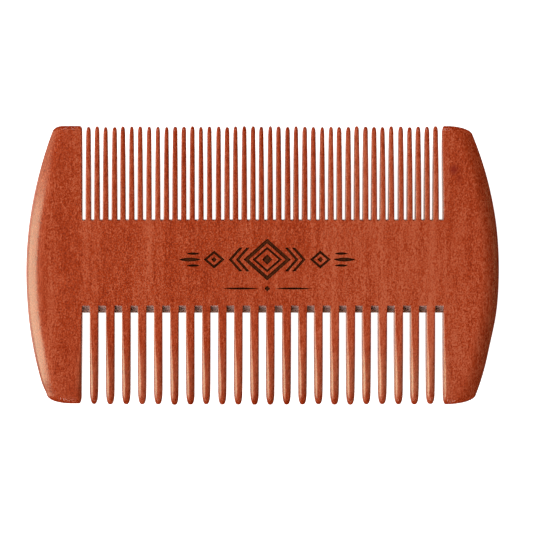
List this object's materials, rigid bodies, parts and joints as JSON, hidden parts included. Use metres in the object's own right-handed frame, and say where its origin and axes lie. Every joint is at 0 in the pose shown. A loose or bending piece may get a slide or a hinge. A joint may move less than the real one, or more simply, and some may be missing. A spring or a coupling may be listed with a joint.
{
  "type": "beard comb",
  "caption": "Pocket-size double-sided wooden beard comb with fine teeth along one edge, coarse teeth along the other, and rounded end guards.",
  "frame": {"origin": "on the surface that the comb lies on, under the middle of its outline", "axes": "+X along the comb's length, +Y towards the tips of the fine teeth, +Z out of the front face"},
  "size_m": [0.1, 0.059, 0.008],
  "materials": {
    "spine_wood": "satin",
    "guard_wood": "satin",
    "fine_tooth_wood": "satin",
    "coarse_tooth_wood": "satin"
  },
  "bodies": {
    "root": {"spine": "spine_wood", "left_guard": "guard_wood", "right_guard": "guard_wood", "fine_tooth_01": "fine_tooth_wood", "fine_tooth_02": "fine_tooth_wood", "fine_tooth_03": "fine_tooth_wood", "fine_tooth_04": "fine_tooth_wood", "fine_tooth_05": "fine_tooth_wood", "fine_tooth_06": "fine_tooth_wood", "fine_tooth_07": "fine_tooth_wood", "fine_tooth_08": "fine_tooth_wood", "fine_tooth_09": "fine_tooth_wood", "fine_tooth_10": "fine_tooth_wood", "fine_tooth_11": "fine_tooth_wood", "fine_tooth_12": "fine_tooth_wood", "fine_tooth_13": "fine_tooth_wood", "fine_tooth_14": "fine_tooth_wood", "fine_tooth_15": "fine_tooth_wood", "fine_tooth_16": "fine_tooth_wood", "fine_tooth_17": "fine_tooth_wood", "fine_tooth_18": "fine_tooth_wood", "fine_tooth_19": "fine_tooth_wood", "fine_tooth_20": "fine_tooth_wood", "fine_tooth_21": "fine_tooth_wood", "fine_tooth_22": "fine_tooth_wood", "fine_tooth_23": "fine_tooth_wood", "fine_tooth_24": "fine_tooth_wood", "fine_tooth_25": "fine_tooth_wood", "fine_tooth_26": "fine_tooth_wood", "fine_tooth_27": "fine_tooth_wood", "fine_tooth_28": "fine_tooth_wood", "fine_tooth_29": "fine_tooth_wood", "fine_tooth_30": "fine_tooth_wood", "fine_tooth_31": "fine_tooth_wood", "fine_tooth_32": "fine_tooth_wood", "fine_tooth_33": "fine_tooth_wood", "fine_tooth_34": "fine_tooth_wood", "fine_tooth_35": "fine_tooth_wood", "fine_tooth_36": "fine_tooth_wood", "fine_tooth_37": "fine_tooth_wood", "fine_tooth_38": "fine_tooth_wood", "fine_tooth_39": "fine_tooth_wood", "fine_tooth_40": "fine_tooth_wood", "fine_tooth_41": "fine_tooth_wood", "coarse_teeth_01_02": "coarse_tooth_wood", "coarse_teeth_03_04": "coarse_tooth_wood", "coarse_teeth_05_06": "coarse_tooth_wood", "coarse_teeth_07_08": "coarse_tooth_wood", "coarse_teeth_09_10": "coarse_tooth_wood", "coarse_teeth_11_12": "coarse_tooth_wood", "coarse_teeth_13_14": "coarse_tooth_wood", "coarse_teeth_15_16": "coarse_tooth_wood", "coarse_teeth_17_18": "coarse_tooth_wood", "coarse_teeth_19_20": "coarse_tooth_wood", "coarse_teeth_21_22": "coarse_tooth_wood"}
  },
  "joints": []
}
